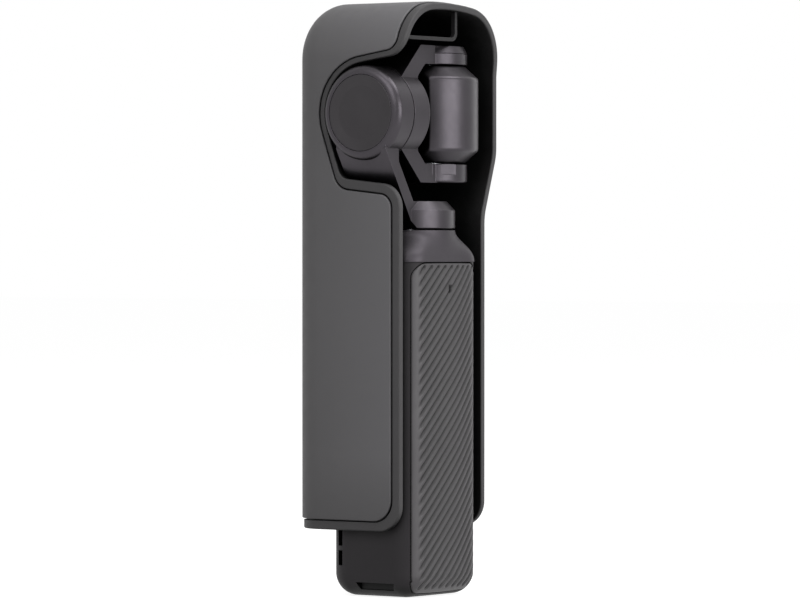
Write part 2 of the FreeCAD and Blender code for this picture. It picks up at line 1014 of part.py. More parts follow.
def yoke():
    disc = turned("YZ", roll, [
        (0, yoke_inner_x),
        (roll_radius, yoke_inner_x),
        (roll_radius, yoke_face),
        (0, yoke_face),
    ], [0, 0.8, 0.15, 0])
    body = joined(disc, yoke_half(1), yoke_half(-1))
    cutters = [
        rod("YZ", roll, shaft_radius + running, (yoke_face - 3.1, yoke_face + 1)),
        rod("XY", tilt, tilt_cap_radius + 0.1, (yoke_top - tilt_lid_height, yoke_top + 1)),
        rod("XY", tilt, cap_disc_radius + running, (yoke_bottom - 1, yoke_bottom + cap_disc_depth)),
        rod("XY", tilt, post_outer + running, (yoke_bottom + 0.5, yoke_bottom + yoke_arm_height + 1)),
        rod("XY", tilt, shaft_radius + running, (yoke_top - yoke_arm_height - 1, yoke_top)),
        pad_facet(),
    ]
    return body.cut(cutters)


tilt = (tilt_x, pan_y)
head_bottom = roll_z - head_half_height
head_top = roll_z + head_half_height


def tilt_caps():
    base = yoke_top - tilt_lid_height + 0.1
    lid = turned("XY", tilt, [
        (0, base),
        (tilt_cap_radius, base),
        (tilt_cap_radius - tilt_lid_taper, yoke_top),
        (0, yoke_top),
    ], [0, 0.1, 0.3, 0])
    lower = rod("XY", tilt, cap_disc_radius, (yoke_bottom, yoke_bottom + cap_disc_depth - 0.05))
    return group([lid, lower])


tilt_stator_low = head_bottom + 1.75
tilt_stator_high = head_bottom + 4.75
tilt_stator_radius = 7.7
tilt_bell_low = head_bottom + 1.85
tilt_bell_top = head_bottom + 6.15
tilt_bell_radius = 8.8
tilt_shaft_low = yoke_bottom + 2.4


def tilt_post():
    return tube("XY", tilt, post_outer, post_inner, (yoke_bottom + cap_disc_depth + 0.05, tilt_stator_high))


def tilt_stator():
    return stator("XY", tilt, tilt_stator_radius, (tilt_stator_low, tilt_stator_high))


def tilt_pin():
    return rod("XY", tilt, shaft_radius, (head_top - 2.4, yoke_top - tilt_lid_height - 0.05))


def head_form(inset):
    radius = head_radius - inset
    half = head_half_height - inset
    side = half - head_shoulder
    shoulder_round = max(head_shoulder_round - inset, 0)
    rim_round = max(head_rim_round - inset, 0)
    solid = turned("XY", tilt, [
        (0, roll_z - half),
        (radius - head_shoulder_in, roll_z - half),
        (radius, roll_z - side),
        (radius, roll_z + side),
        (radius - head_shoulder_in, roll_z + half),
        (0, roll_z + half),
    ], [0, rim_round, shoulder_round, shoulder_round, rim_round, 0])
    side_x = head_flat_x - inset
    front_y = head_front_y + inset
    keep = block(
        (tilt_x - 2 * head_radius, side_x),
        (front_y, pan_y + 2 * head_radius),
        (head_bottom - 1, head_top + 1),
    )
    solid = solid.common(keep)
    edge_round = head_edge_round - inset
    if edge_round <= 0:
        return solid
    flats = [e for e in solid.Edges if e.BoundBox.XMin > side_x - 1e-6 or e.BoundBox.YMax < front_y + 1e-6]
    return solid.makeFillet(edge_round, flats)


lens_rear = 1.5
sensor_half_width = 6.6
head_board_half_width = 8.6


def head_hollow():
    shell = head_form(0).cut(head_form(head_wall))
    cutters = [
        rod("XY", tilt, post_outer + 0.35, (head_bottom - 1, head_bottom + head_wall + 1)),
        rod("XY", tilt, bearing_outer + 0.02, (head_top - head_wall - 1, head_top + 1)),
        rod("XZ", (tilt_x, roll_z), lens_ring_radius - 0.3, (head_front_y - 1, head_front_y + head_wall + 1)),
    ]
    return shell.cut(cutters)


def head_part(start_y, end_y):
    across = (tilt_x - 2 * head_radius, tilt_x + 2 * head_radius)
    return block(across, (start_y, end_y), (head_bottom - 1, head_top + 1))


def camera_shell():
    return head_hollow().common(head_part(head_seam_y + seam / 2, pan_y + 2 * head_radius))


def camera_front():
    return head_hollow().common(head_part(head_front_y - 1, head_seam_y - seam / 2))


def lens_ring():
    centre = (tilt_x, roll_z)
    front = head_front_y - 0.35
    flange = tube("XZ", centre, lens_ring_radius, lens_radius - 0.9, (front, head_front_y - 0.02))
    sleeve = tube("XZ", centre, lens_ring_radius - 0.4, lens_radius - 0.9, (front, head_front_y + 1.0))
    return joined(flange, sleeve)


def lens_glass():
    return rod("XZ", (tilt_x, roll_z), lens_radius - 1.0, (head_front_y - 0.1, head_front_y + 0.9))


def lens_barrel():
    centre = (tilt_x, roll_z)
    return tube("XZ", centre, lens_radius, lens_radius - 1.1, (head_front_y + 1.2, lens_rear))


def lens_elements():
    centre = (tilt_x, roll_z)
    radius = lens_radius - 1.2
    starts = [head_front_y + 2.0 + 2.3 * i for i in range(4)]
    return group([rod("XZ", centre, radius, (start, start + 1.3)) for start in starts])


def sensor_board():
    front = lens_rear + 0.15
    half = sensor_half_width
    rise = lens_radius - 0.8
    sensor = block((tilt_x - half, tilt_x + half), (front, front + 1.0), (roll_z - rise, roll_z + rise))
    wide = head_board_half_width
    heights = (tilt_bell_top + 0.4, head_top - 3.15)
    board = block((tilt_x - wide, tilt_x + wide), (front + 1.0, front + 2.0), heights)
    return joined(sensor, board)


def tilt_rotor():
    disc = (tilt_bell_top - 0.8, tilt_bell_top)
    ring = (tilt_bell_low, tilt_bell_top)
    return bell("XY", tilt, tilt_bell_radius, disc, ring, (tilt_shaft_low, tilt_bell_top))


def head_bearing():
    return tube("XY", tilt, bearing_outer, shaft_radius + running, (head_top - 1.5, head_top))


# cover
def cover_face_outline(inset, low):
    near = cover_x - inset
    far = cover_far_x + inset
    bulge = cover_bulge_x + inset
    start = Vector(near, 0, cover_top_near - inset)
    crown = Vector(cover_crown_x, 0, cover_top_mid - inset)
    end = Vector(bulge, 0, cover_top_far - inset)
    top = Part.Arc(start, crown, end).toShape()
    high_bend = Vector(bulge, 0, cover_bend_high)
    low_bend = Vector(far, 0, cover_bend_low)
    edges = [
        Part.LineSegment(Vector(near, 0, low), start).toShape(),
        top,
        Part.LineSegment(end, high_bend).toShape(),
        Part.LineSegment(high_bend, low_bend).toShape(),
        Part.LineSegment(low_bend, Vector(far, 0, low)).toShape(),
        Part.LineSegment(Vector(far, 0, low), Vector(near, 0, low)).toShape(),
    ]
    return Part.Face(Part.Wire(edges))


cover_reach = handle_back_side - cover_front + 10.2
cover_form_low = shell_bottom - 14.4


def cover_form(inset):
    low = cover_form_low
    front = cover_front + inset
    face = cover_face_outline(inset, low)
    solid = face.extrude(Vector(0, cover_reach, 0))
    solid.translate(Vector(0, front, 0))

    def runs_at(edge, x, z):
        box = edge.BoundBox
        beside = abs(box.XMin - x) + abs(box.XMax - x)
        level = abs(box.ZMin - z) + abs(box.ZMax - z)
        return box.YLength > cover_reach - 1 and beside + level < 0.01

    def edges_at(*places):
        return [e for e in solid.Edges if any(runs_at(e, x, z) for x, z in places)]

    near = (cover_x - inset, cover_top_near - inset)
    far = (cover_bulge_x + inset, cover_top_far - inset)
    solid = solid.makeFillet(cover_corner - inset, edges_at(near, far))
    bends = edges_at((cover_bulge_x + inset, cover_bend_high), (cover_far_x + inset, cover_bend_low))
    solid = solid.makeFillet(cover_bend_round, bends)
    rim = [e for e in solid.Edges if e.BoundBox.YMax < front + 1e-6 and e.BoundBox.ZMax > low + 1e-6]
    return solid.makeFillet(cover_front_round - inset, rim)


def crossing(first, first_way, second, second_way):
    # where two lines of the YZ plane meet
    width = second[0] - first[0]
    height = second[1] - first[1]
    spread = first_way[0] * second_way[1] - first_way[1] * second_way[0]
    reach = (width * second_way[1] - height * second_way[0]) / spread
    return (first[0] + first_way[0] * reach, first[1] + first_way[1] * reach)


def opening_keep(grow):
    # the part of the cover that is left standing beside its open back and its side notch
    low = shell_bottom - grow
    rim = shell_rim_y + grow
    top_rim = shell_rim_top_y + grow
    front = cover_front - 1
    above = cover_top_mid + 1
    radius = notch_radius - 0.65 * grow
    lean = math.radians(notch_lean)
    rise = math.radians(notch_top_rise)
    left_way = (-math.sin(lean), math.cos(lean))
    left_spot = (pan_y - radius * math.cos(lean), roll_z - radius * math.sin(lean))
    top_way = (math.cos(rise), math.sin(rise))
    top_spot = (pan_y - radius * math.sin(rise), roll_z + radius * math.cos(rise))
    floor_spot = (rim, roll_z - notch_floor_drop + grow)
    floor_way = (-1.0, notch_floor_slope)
    near_points = [
        (front, low),
        (rim, low),
        floor_spot,
        crossing(floor_spot, floor_way, left_spot, left_way),
        crossing(left_spot, left_way, top_spot, top_way),
        crossing(top_spot, top_way, (top_rim, above), (0.0, 1.0)),
        (top_rim, above),
        (front, above),
    ]
    foot = foot_round + 0.4 * grow
    heel = notch_heel_round - 0.6 * grow
    near_radii = [0, foot, notch_rim_round + grow, heel, radius, notch_crown_round + grow, 0, 0]
    far_points = [(front, low), (rim, low), (rim, roll_z + far_rim_rise)]
    far_points += [(top_rim, cover_top_far), (top_rim, above), (front, above)]
    near_side = prism("YZ", near_points, near_radii, (0, cover_x + 1))
    far_side = prism("YZ", far_points, [0, foot, 0, 0, 0, 0], (cover_bulge_x - 1, 0))
    return near_side.fuse(far_side)


def rim_edges(solid, form, keep):
    # the edges along which the form's skin meets the trimming solid
    def on_skin(edge, skin):
        share = edge.FirstParameter + 0.37 * (edge.LastParameter - edge.FirstParameter)
        return skin.Shells[0].distToShape(Part.Vertex(edge.valueAt(share)))[0] < 0.01

    return [e for e in solid.Edges if on_skin(e, form) and on_skin(e, keep)]


def cover_shell():
    form = cover_form(0)
    keep = opening_keep(0)
    shell = form.cut(cover_form(shell_thickness)).common(keep)
    return shell.makeFillet(shell_rim_round, rim_edges(shell, form, keep))


def cover_liner():
    inner = cover_form(liner_inner)
    outer = cover_form(rim_drop)
    keep = opening_keep(rim_step)
    skin = cover_form(shell_thickness + cover_gap).cut(inner)
    rim = outer.cut(inner).cut(opening_keep(groove))
    whole = skin.fuse(rim).common(keep).removeSplitter()
    edges = rim_edges(whole, outer, keep) + rim_edges(whole, inner, keep)
    return whole.makeFillet(liner_rim_round, edges)


pocket_low = yoke_top + 1.1
pocket_wall = 0.9
pocket_depth = (10.0, 11.2)
pocket_across = (-7.1, 14.9)
pocket_round = 2.2
pad_spans = ((24.0, 30.0), (handle_height - 14.5, handle_height - 6.5))


def cover_pocket():
    above = cover_top_mid + 1
    solids = []
    for wall in (0, pocket_wall):
        left = pocket_across[0] + wall
        right = pocket_across[1] - wall
        floor = pocket_low + wall
        points = [(left, floor), (right, floor), (right, above), (left, above)]
        soft = pocket_round - wall
        depth = (pocket_depth[0] - wall, pocket_depth[1] + wall)
        solids.append(prism("XZ", points, [soft, soft, 0, 0], depth))
    return solids[0].cut(solids[1]).common(cover_form(liner_inner + 0.02))


def cover_pads():
    inner = cover_x - liner_inner - 0.02
    far_inner = cover_far_x + liner_inner + 0.02
    half = handle_width / 2 + split
    pads = []
    for low, high in pad_spans:
        pads.append(block((half, inner), (-4.0, 4.0), (low, high)))
        pads.append(block((far_inner, -half), (-4.0, 4.0), (low, high)))
    return group(pads)


save("chassis", chassis())
save("front_panel", front_panel())
save("grip_plate", grip_plate())
save("neck_collar", neck_collar())
save("housing_screws", screws())
save("latch_plates", latch_plates())
save("usb_port", usb_port())
save("port_board", port_board())
save("battery_cells", battery_cells())
save("battery_tray", battery_tray())
save("main_board", main_board())
save("board_chips", board_chips())
save("heat_spreader", heat_spreader())
save("speaker", speaker())
save("microphones", microphones())
save("status_led", status_led())
save("card_socket", card_socket())
save("stick_base", stick_base())
save("record_switch", record_switch())
save("record_ring", record_ring())
save("screen_bearing", screen_bearing())
save("pan_post", pan_post())
save("pan_bearings", bearings("XY", pan, (pan_stator_low, pan_stator_low + 4.0)))
save("pan_stator", stator("XY", pan, pan_bell_radius - 1.0, (pan_stator_low, pan_stator_high)))

save("memory_card", memory_card())

save("screen_frame", screen_frame())
save("screen_panel", screen_panel())
save("screen_glass", screen_glass())
save("screen_pivot", screen_pivot())

save("stick_cradle", stick_cradle())
save("stick_stem", stick_stem())
save("stick_cap", stick_cap())
save("record_button", record_button())

save("pan_arm", pan_arm())
save("pan_rotor", pan_rotor())
save("roll_cap", roll_cap())
save("roll_post", roll_post())
save("roll_bearings", bearings("YZ", roll, (roll_split_x + 1.7, roll_end_wall - 1.9)))
save("roll_stator", roll_stator())

save("yoke", yoke())
save("roll_rotor", roll_rotor())
save("tilt_caps", tilt_caps())
save("tilt_post", tilt_post())
save("tilt_bearings", bearings("XY", tilt, (tilt_shaft_low + 0.2, tilt_stator_high - 1.6)))
save("tilt_stator", tilt_stator())
save("tilt_pin", tilt_pin())

save("camera_shell", camera_shell())
save("camera_front", camera_front())
save("lens_ring", lens_ring())
save("lens_glass", lens_glass())
save("lens_barrel", lens_barrel())
save("lens_elements", lens_elements())
save("sensor_board", sensor_board())
save("tilt_rotor", tilt_rotor())
save("head_bearing", head_bearing())

save("cover_shell", cover_shell())
save("cover_liner", cover_liner())
save("cover_pocket", cover_pocket())
save("cover_pads", cover_pads())
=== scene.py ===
import math
import bmesh
import bpy
import numpy as np
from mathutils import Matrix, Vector


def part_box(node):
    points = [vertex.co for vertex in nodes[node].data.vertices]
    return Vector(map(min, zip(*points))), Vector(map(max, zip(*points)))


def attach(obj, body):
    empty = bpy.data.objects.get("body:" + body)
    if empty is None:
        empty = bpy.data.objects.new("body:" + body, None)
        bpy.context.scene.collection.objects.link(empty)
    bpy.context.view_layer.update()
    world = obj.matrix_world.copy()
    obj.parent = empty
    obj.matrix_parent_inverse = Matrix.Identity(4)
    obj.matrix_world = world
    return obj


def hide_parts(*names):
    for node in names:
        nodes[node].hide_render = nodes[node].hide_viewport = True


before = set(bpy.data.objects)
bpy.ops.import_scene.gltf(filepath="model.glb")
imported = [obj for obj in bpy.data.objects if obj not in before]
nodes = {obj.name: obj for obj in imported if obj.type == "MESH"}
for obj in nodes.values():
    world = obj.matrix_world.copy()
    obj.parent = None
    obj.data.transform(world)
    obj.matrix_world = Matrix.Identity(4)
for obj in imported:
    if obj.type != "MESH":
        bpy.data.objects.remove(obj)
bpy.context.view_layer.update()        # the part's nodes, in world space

print("frame loaded:", len(nodes), "nodes")


# small helpers for the node trees

def linearTone(value):
    # a picture tone of 0 to 255 as linear light, by the sRGB curve
    share = value / 255.0
    return share / 12.92 if share <= 0.04045 else ((share + 0.055) / 1.055) ** 2.4


def colour(red, green=None, blue=None):
    green = red if green is None else green
    blue = red if blue is None else blue
    return (linearTone(red), linearTone(green), linearTone(blue), 1.0)


def addNode(tree, kind, spot, **settings):
    node = tree.nodes.new(kind)
    node.location = spot
    for key, value in settings.items():
        if key in node.inputs:
            node.inputs[key].default_value = value
        else:
            setattr(node, key, value)
    return node


def freshMaterial(name):
    mat = bpy.data.materials.new(name)
    mat.use_nodes = True
    return mat, mat.node_tree, mat.node_tree.nodes["Principled BSDF"]


def objectPlace(tree, stretch=(1, 1, 1), turn=(0, 0, 0)):
    coord = addNode(tree, "ShaderNodeTexCoord", (-1500, 0))
    mapping = addNode(tree, "ShaderNodeMapping", (-1300, 0))
    mapping.inputs["Scale"].default_value = stretch
    mapping.inputs["Rotation"].default_value = turn
    tree.links.new(coord.outputs["Object"], mapping.inputs["Vector"])
    return mapping.outputs["Vector"]


def noiseFac(tree, place, scale, detail, height):
    noise = addNode(tree, "ShaderNodeTexNoise", (-1050, height), Scale=scale, Detail=detail)
    tree.links.new(place, noise.inputs["Vector"])
    return noise.outputs["Fac"]


def spread(tree, fac, low, high, height, fromLow=0.3, fromHigh=0.7):
    node = addNode(tree, "ShaderNodeMapRange", (-700, height))
    node.inputs["From Min"].default_value = fromLow
    node.inputs["From Max"].default_value = fromHigh
    node.inputs["To Min"].default_value = low
    node.inputs["To Max"].default_value = high
    tree.links.new(fac, node.inputs["Value"])
    return node.outputs["Result"]


def blendTones(tree, fac, first, second, height):
    mix = addNode(tree, "ShaderNodeMix", (-450, height), data_type="RGBA")
    tree.links.new(fac, mix.inputs["Factor"])
    for socket, value in ((mix.inputs[6], first), (mix.inputs[7], second)):
        if isinstance(value, tuple):
            socket.default_value = value
        else:
            tree.links.new(value, socket)
    return mix.outputs[2]


edgeMask = {"samples": 4, "fullFrom": 0.75, "noneFrom": 0.985}   # cosine of the bevel's turn
# painted shade: the tone that gaps and overhangs darken towards
gapShade = {"samples": 8, "tone": colour(7)}


def softEdges(tree, radius):
    # a rounded normal along sharp edges, and a mask that is 1 on them
    rounded = addNode(tree, "ShaderNodeBevel", (-1050, -900), samples=edgeMask["samples"])
    rounded.inputs["Radius"].default_value = radius
    geometry = addNode(tree, "ShaderNodeNewGeometry", (-1050, -1100))
    dot = addNode(tree, "ShaderNodeVectorMath", (-850, -1000), operation="DOT_PRODUCT")
    tree.links.new(rounded.outputs["Normal"], dot.inputs[0])
    tree.links.new(geometry.outputs["Normal"], dot.inputs[1])
    turn = dot.outputs["Value"]
    mask = spread(tree, turn, 1.0, 0.0, -1000, edgeMask["fullFrom"], edgeMask["noneFrom"])
    return rounded.outputs["Normal"], mask


def shadeGaps(tree, tint, reach, limits):
    # painted shade: seams, gaps and places under overhangs darken by how closed in they are
    paintedOcclusion = addNode(tree, "ShaderNodeAmbientOcclusion", (-700, 800), samples=gapShade["samples"])
    paintedOcclusion.inputs["Distance"].default_value = reach
    share = spread(tree, paintedOcclusion.outputs["AO"], 0.0, 1.0, 800, *limits)
    return blendTones(tree, share, gapShade["tone"], tint, 800)


def paintLightFalloff(tree, place, tint, paintedLight):
    # painted light and shade: the face grows paler along Y and darker towards its foot, as the
    # lamps fall on it
    split = addNode(tree, "ShaderNodeSeparateXYZ", (-1050, 1000))
    tree.links.new(place, split.inputs["Vector"])
    along = spread(tree, split.outputs["Y"], 0.0, 1.0, 1000, *paintedLight["alongY"])
    upward = spread(tree, split.outputs["Z"], 0.0, 1.0, 1150, *paintedLight["alongZ"])
    tint = blendTones(tree, along, tint, paintedLight["litTone"], 1000)
    return blendTones(tree, upward, paintedLight["deep"], tint, 1150)


def finishShader(tree, shader, place, look, tint, height):
    # the tint, a roughness that varies with the smears, and a bump from the given height
    tree.links.new(tint, shader.inputs["Base Color"])
    smears = noiseFac(tree, place, look["smearScale"], 3.0, 0)
    low, high = look["rough"]
    tree.links.new(spread(tree, smears, low, high, 0), shader.inputs["Roughness"])
    bump = addNode(tree, "ShaderNodeBump", (-350, -400), Strength=look["grainStrength"])
    bump.inputs["Distance"].default_value = look["depth"]
    tree.links.new(height, bump.inputs["Height"])
    tree.links.new(bump.outputs["Normal"], shader.inputs["Normal"])
    return bump


plainLook = {
    "stretch": (1, 1, 1),
    "cloudScale": 60.0,
    "smearScale": 400.0,
    "grainScale": 3000.0,
    "grainStrength": 0.5,
    "depth": 0.00002,          # height of the grain
    "edge": 0.00015,           # radius of the softened edges
    "metallic": 0.0,
    "specular": 0.4,
    "coat": 0.0,
    "coatRough": 0.1,
}


def surfaceFinish(name, changes):
    # clouds tint the colour; where named, edges get a painted highlight and wear, the face
    # painted light and shade, and valleys and gaps painted shade
    look = dict(plainLook, **changes)
    mat, tree, shader = freshMaterial(name)
    place = objectPlace(tree, look["stretch"])
    clouds = spread(tree, noiseFac(tree, place, look["cloudScale"], 4.0, 300), 0.0, 1.0, 300)
    grain = noiseFac(tree, place, look["grainScale"], 2.0, -300)
    tint = blendTones(tree, clouds, look["dark"], look["light"], 300)
    normal, onEdge = softEdges(tree, look["edge"])
    # painted highlight and wear: sharp edges lighten towards this colour
    if "wornAndLitEdge" in look:
        tint = blendTones(tree, onEdge, tint, look["wornAndLitEdge"], 500)
    # painted light and shade across the face
    if "paintedLight" in look:
        tint = paintLightFalloff(tree, place, tint, look["paintedLight"])
    # painted shade: the mesh's valley attribute darkens the ribs' valleys, the slot and the seam
    if "valley" in look:
        valley = addNode(tree, "ShaderNodeAttribute", (-1050, 600), attribute_name="valley")
        tint = blendTones(tree, valley.outputs["Fac"], tint, look["valley"], 650)
    # painted shade in seams, gaps and under overhangs
    if "paintedOcclusion" in look:
        tint = shadeGaps(tree, tint, look["paintedOcclusion"], look["limits"])
    bump = finishShader(tree, shader, place, look, tint, grain)
    tree.links.new(normal, bump.inputs["Normal"])
    shader.inputs["Metallic"].default_value = look["metallic"]
    shader.inputs["Specular IOR Level"].default_value = look["specular"]
    shader.inputs["Coat Weight"].default_value = look["coat"]
    shader.inputs["Coat Roughness"].default_value = look["coatRough"]
    return mat


def dress(mat, *names):
    for name in names:
        mesh = nodes[name].data
        mesh.materials.clear()
        mesh.materials.append(mat)


# cover

coverLook = {
    "dark": colour(80, 79, 80),
    "light": colour(86, 85, 86),
    # painted highlight and wear on the edges
    "wornAndLitEdge": colour(104, 103, 104),
    "rough": (0.5, 0.58),
    "specular": 0.2,
    "cloudScale": 35.0,
    "grainScale": 2600.0,
    "depth": 0.00003,
    "edge": 0.0002,
    "paintedOcclusion": 0.0008,          # how far a gap's shade reaches
    "limits": (0.45, 0.9),     # open share of the surroundings at full shade and at none
}
# painted light and shade across the shell's side face
shellPaintedLight = {
    "alongY": (-0.021, 0.008),
    "alongZ": (0.012, 0.036),
    "litTone": colour(96, 95, 97),
    "deep": colour(74, 73, 74),
}
linerLook = dict(
    coverLook,
    dark=colour(64, 63, 64),
    light=colour(70, 69, 70),
    wornAndLitEdge=colour(96, 95, 96),
    # painted shade that reaches far into the cover's inside
    paintedOcclusion=0.03,
    edge=0.0003,
)
pocketLook = dict(
    coverLook,
    dark=colour(34, 33, 34),
    light=colour(40, 39, 40),
    wornAndLitEdge=colour(74, 73, 74),
)
padLook = {
    "dark": colour(24),
    "light": colour(31),
    "rough": (0.7, 0.85),
    "specular": 0.25,
    "grainScale": 1400.0,
    "depth": 0.00006,
}


def dressCover():
    dress(surfaceFinish("coverShellPlastic", dict(coverLook, paintedLight=shellPaintedLight)), "cover_shell")
    dress(surfaceFinish("coverLinerPlastic", linerLook), "cover_liner")
    dress(surfaceFinish("coverPocketPlastic", pocketLook), "cover_pocket")
    dress(surfaceFinish("padRubber", padLook), "cover_pads")


dressCover()
print("cover dressed")


# gimbal metal

gimbalLook = {
    "dark": colour(61, 58, 62),
    "light": colour(67, 64, 68),
    "wornAndLitEdge": colour(90, 86, 92),
    "rough": (0.33, 0.39),
    "metallic": 0.9,
    "specular": 0.5,
    "cloudScale": 90.0,
    "smearScale": 700.0,
    "grainScale": 5200.0,
    "depth": 0.000012,
    "edge": 0.00016,
    "paintedOcclusion": 0.012,
    "limits": (0.3, 0.9),
}
capLook = dict(gimbalLook, dark=colour(56, 54, 56), light=colour(60, 58, 60), rough=(0.38, 0.44))
neckLook = dict(gimbalLook, rough=(0.48, 0.54))


def dressGimbal():
    metal = surfaceFinish("blastedMetal", gimbalLook)
    dress(surfaceFinish("neckMetal", neckLook), "neck_collar")
    dress(metal, "pan_arm", "yoke", "tilt_caps", "camera_shell", "camera_front")
    dress(surfaceFinish("capMetal", capLook), "roll_cap")


dressGimbal()
print("gimbal dressed")


# handle

handleLook = {
    "dark": colour(37, 35, 37),
    "light": colour(42, 40, 42),
    "wornAndLitEdge": colour(48, 46, 48),
    "rough": (0.46, 0.54),
    "specular": 0.15,
    "cloudScale": 45.0,
    "grainScale": 3200.0,
    "depth": 0.00002,
    "paintedOcclusion": 0.004,
    "limits": (0.35, 0.95),
}
gripLook = {
    "dark": colour(65, 63, 65),
    "light": colour(70, 68, 70),
    "wornAndLitEdge": colour(80, 77, 80),
    # painted shade for the ribs' valleys, the slot, the plate's seam and its hidden sides
    "valley": colour(10, 9, 10),
    "paintedOcclusion": 0.0007,
    "limits": (0.3, 0.75),
    "rough": (0.36, 0.44),
    "specular": 0.3,
    "cloudScale": 70.0,
    "grainScale": 3600.0,
    "depth": 0.00002,
}
latchLook = dict(handleLook, dark=colour(14), light=colour(20), wornAndLitEdge=colour(30))


def dressHandle():
    dress(surfaceFinish("handlePlastic", handleLook), "chassis", "front_panel")
    dress(surfaceFinish("latchPlastic", latchLook), "latch_plates")


dressHandle()

ribs = {
    "halfBackSag": 0.0007,     # how far the back's arc drops from its middle to the handle's side
    "cornerRadius": 0.006,     # upright corners of the handle
    "baseRadius": 0.0058,      # roll of the base
    "halfWidth": 0.01353,      # half of the plate's width
    "plateCorner": 0.00435,    # top corners of the plate
    "foot": 0.0007,            # height of the plate's lower edge
    "footCorner": 0.00475,     # lower corners of the plate
    "footRise": 0.00405,       # below this the plate reaches further in
    "rearPlane": 0.0117,       # where the plate's sides end inside the handle
    "footPlane": 0.01075,      # the same below footRise
    "pitch": 0.00275,          # rib to rib, measured straight up
    "lean": 0.963,             # rise of a rib over its run
    "phase": 0.656,            # shift of the ribs, in pitches
    "bendStart": -0.001,       # from here towards -X the ribs grow steeper
    "bend": 20.0,              # how fast they grow steeper
    "valleyDepth": 0.00055,
    "valleyHalf": 0.00072,     # from a valley's middle to where the rib is at full height
    "topMargin": 0.00105,      # the plate's top to the middle of a valley's round end
    "bottomMargin": 0.0017,    # the same at the plate's foot
    "fadeStart": 0.0120,       # the valleys sink in between these places
    "fadeEnd": 0.0098,
    "shadePower": 0.6,         # below 1 the valleys' shade spreads up their sides
    "edgeRound": 0.0003,
    "edgeShade": 0.0002,       # how far the seam's shade comes onto the plate
    "slotX": -0.001,           # microphone slot
    "slotBelowTop": 0.0065,
    "slotHalfWidth": 0.00058,
    "slotHalfHeight": 0.00095,
    "slotDepth": 0.0009,
    "slotFade": 0.0002,        # width over which the slot falls away
    "lines": 640,              # grid lines across the plate
    "steps": 136,              # points along each line
    "seeds": 200,              # points tried for a start inside the outline
    "leastMargin": 0.00002,    # a line that gets no further inside is dropped
    "halvings": 34,
}


def backSurface(x, z):
    # shallow arc across the back, rolled over at the upright corners and again towards the base
    halfWidth = float(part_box("chassis")[1][0])
    backY = float(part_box("grip_plate")[1][1])
    sag, corner, base = ribs["halfBackSag"], ribs["cornerRadius"], ribs["baseRadius"]
    arcRadius = (halfWidth ** 2 + sag ** 2) / (2 * sag)
    arcY = backY - arcRadius
    short = np.clip(base - z, 0, base)
    inset = base - np.sqrt(base ** 2 - short ** 2)
    cornerX = halfWidth - corner
    cornerY = arcY + math.sqrt((arcRadius - corner) ** 2 - cornerX ** 2)
    onArc = arcY + np.sqrt((arcRadius - inset) ** 2 - x ** 2)
    beyond = np.abs(x) - cornerX
    onCorner = cornerY + np.sqrt(np.clip((corner - inset) ** 2 - beyond ** 2, 0, None))
    handOver = cornerX * (arcRadius - inset) / (arcRadius - corner)
    return np.where(np.abs(x) > handOver, onCorner, onArc)


def rearPlane(z):
    # one upright plane, and a second one further in below the foot's rise
    return np.where(z > ribs["footRise"], ribs["rearPlane"], ribs["footPlane"])


def insideCorner(sideways, upward, radius):
    # distance inside two straight edges that meet in a round corner
    outside = np.hypot(np.clip(sideways + radius, 0, None), np.clip(upward + radius, 0, None))
    return radius - outside - np.minimum(np.maximum(sideways, upward) + radius, 0)


def plateMargin(x, z, box):
    # distance inside the plate's outline with its four round corners,
    # or in front of its rear plane, whichever is less
    sideways = np.abs(x) - ribs["halfWidth"]
    upper = insideCorner(sideways, z - box[1][2], ribs["plateCorner"])
    lower = insideCorner(sideways, ribs["foot"] - z, ribs["footCorner"])
    return np.minimum(np.minimum(upper, lower), backSurface(x, z) - rearPlane(z))


def valleyShare(x, z, box):
    # 1 along lines at about 45 degrees that climb towards -X,
    # falling to 0 at the ribs as (1 - r squared) squared, with round ends
    pitch = ribs["pitch"]
    bent = x - ribs["bend"] * np.clip(ribs["bendStart"] - x, 0, None) ** 2
    turns = (ribs["lean"] * bent + z) / pitch - ribs["phase"]
    aside = (turns - np.round(turns)) * pitch / math.sqrt(2)
    pastTop = (z - box[1][2] + ribs["topMargin"]) * math.sqrt(2) - aside
    pastBottom = aside - (z - box[0][2] - ribs["bottomMargin"]) * math.sqrt(2)
    past = np.clip(np.maximum(pastTop, pastBottom), 0, None)
    reach = np.clip(np.hypot(aside, past) / ribs["valleyHalf"], 0, 1)
    fade = np.clip((ribs["fadeStart"] - x) / (ribs["fadeStart"] - ribs["fadeEnd"]), 0, 1)
    return (1 - reach ** 2) ** 2 * fade * fade * (3 - 2 * fade)


def slotShare(x, z, box):
    # 1 inside an upright slot with round ends, falling evenly to 0 across its edge
    straightHalf = ribs["slotHalfHeight"] - ribs["slotHalfWidth"]
    upward = np.abs(z - box[1][2] + ribs["slotBelowTop"]) - straightHalf
    away = np.hypot(x - ribs["slotX"], np.clip(upward, 0, None)) - ribs["slotHalfWidth"]
    return np.clip(0.5 - away / ribs["slotFade"], 0, 1)


def lineEnds(level, box):
    # both ends of each slanting grid line x + z = level, found by halving towards the outline
    low = np.maximum(-ribs["halfWidth"], level - box[1][2])
    high = np.minimum(ribs["halfWidth"], level - ribs["foot"])
    trial = low[:, None] + (high - low)[:, None] * np.linspace(0, 1, ribs["seeds"])[None, :]
    margin = plateMargin(trial, level[:, None] - trial, box)
    middle = np.take_along_axis(trial, margin.argmax(axis=1)[:, None], axis=1)[:, 0]
    within = margin.max(axis=1) > ribs["leastMargin"]
    level, low, middle, high = level[within], low[within], middle[within], high[within]
    ends = [level]
    for outer in (low, high):
        inner = middle.copy()
        outer = outer.copy()
        for _ in range(ribs["halvings"]):
            probe = (inner + outer) / 2
            within = plateMargin(probe, level - probe, box) > 0
            inner = np.where(within, probe, inner)
            outer = np.where(within, outer, probe)
        ends.append(inner)
    return ends


